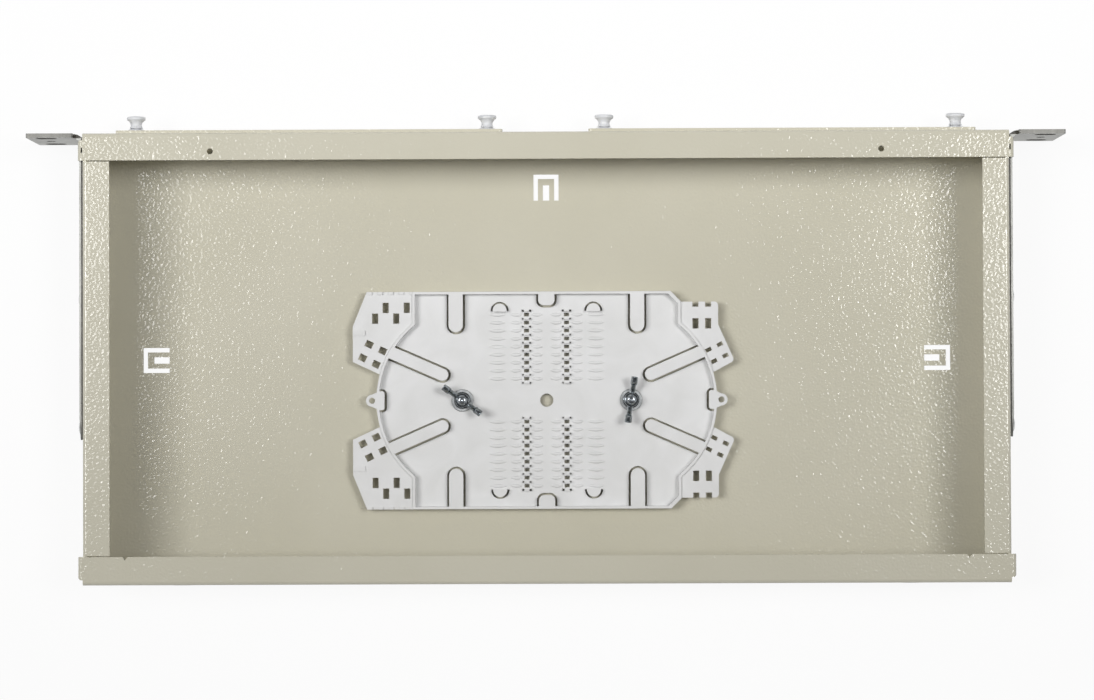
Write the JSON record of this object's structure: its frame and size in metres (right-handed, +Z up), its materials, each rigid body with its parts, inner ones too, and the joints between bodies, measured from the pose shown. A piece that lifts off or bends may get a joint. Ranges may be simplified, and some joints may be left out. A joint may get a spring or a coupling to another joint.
{
  "type": "fibre distribution box",
  "caption": "Open rack-mount fibre distribution box: folded case with rack ears, adapter plates on push-pull latches and a splice tray held by wing nuts.",
  "frame": {"origin": "middle of the case's underside, on the surface that the box stands on", "axes": "+X along the width, towards the right ear seen from the front; -Y out of the front with the adapter plates; +Z up out of the open top"},
  "size_m": [0.4826, 0.2204, 0.044],
  "materials": {
    "case_coat": "textured cream-grey powder coat",
    "plate_coat": "textured cream-grey powder coat",
    "ear_steel": "bare galvanised sheet",
    "screw_zinc": "zinc plated",
    "stud_zinc": "zinc plated",
    "nut_zinc": "blue zinc plated",
    "tray_plastic": "moulded white plastic",
    "latch_nylon": "translucent white nylon",
    "grommet_rubber": "black rubber"
  },
  "bodies": {
    "box": {"case": "case_coat", "splice_tray": "tray_plastic", "left_adapter_plate": "plate_coat", "left_rack_ear": "ear_steel", "left_cable_grommet": "grommet_rubber", "left_tray_stud": "stud_zinc", "left_tray_washer": "nut_zinc", "left_ear_screw_front": "screw_zinc", "left_ear_nut_front": "stud_zinc", "left_ear_screw_rear": "screw_zinc", "left_ear_nut_rear": "stud_zinc", "right_adapter_plate": "plate_coat", "right_rack_ear": "ear_steel", "right_cable_grommet": "grommet_rubber", "right_tray_stud": "stud_zinc", "right_tray_washer": "nut_zinc", "right_ear_screw_front": "screw_zinc", "right_ear_nut_front": "stud_zinc", "right_ear_screw_rear": "screw_zinc", "right_ear_nut_rear": "stud_zinc", "latch_grommet_1": "latch_nylon", "latch_grommet_2": "latch_nylon", "latch_grommet_3": "latch_nylon", "latch_grommet_4": "latch_nylon"},
    "latch_1": {"latch_plunger_1": "latch_nylon"},
    "latch_2": {"latch_plunger_2": "latch_nylon"},
    "latch_3": {"latch_plunger_3": "latch_nylon"},
    "latch_4": {"latch_plunger_4": "latch_nylon"},
    "left_nut": {"left_wing_nut": "nut_zinc"},
    "right_nut": {"right_wing_nut": "nut_zinc"}
  },
  "joints": [
    {"name": "latch_1_pull", "type": "slide", "parent": "box", "child": "latch_1", "axis": [0, -1, 0], "range_m": [0, 0.005]},
    {"name": "latch_2_pull", "type": "slide", "parent": "box", "child": "latch_2", "axis": [0, -1, 0], "range_m": [0, 0.005]},
    {"name": "latch_3_pull", "type": "slide", "parent": "box", "child": "latch_3", "axis": [0, -1, 0], "range_m": [0, 0.005]},
    {"name": "latch_4_pull", "type": "slide", "parent": "box", "child": "latch_4", "axis": [0, -1, 0], "range_m": [0, 0.005]},
    {"name": "left_nut_turn", "type": "hinge", "parent": "box", "child": "left_nut", "pos_m": [-0.04, 0.0196, 0.0057], "axis": [0, 0, 1], "continuous": true},
    {"name": "right_nut_turn", "type": "hinge", "parent": "box", "child": "right_nut", "pos_m": [0.04, 0.0196, 0.0057], "axis": [0, 0, 1], "continuous": true}
  ]
}
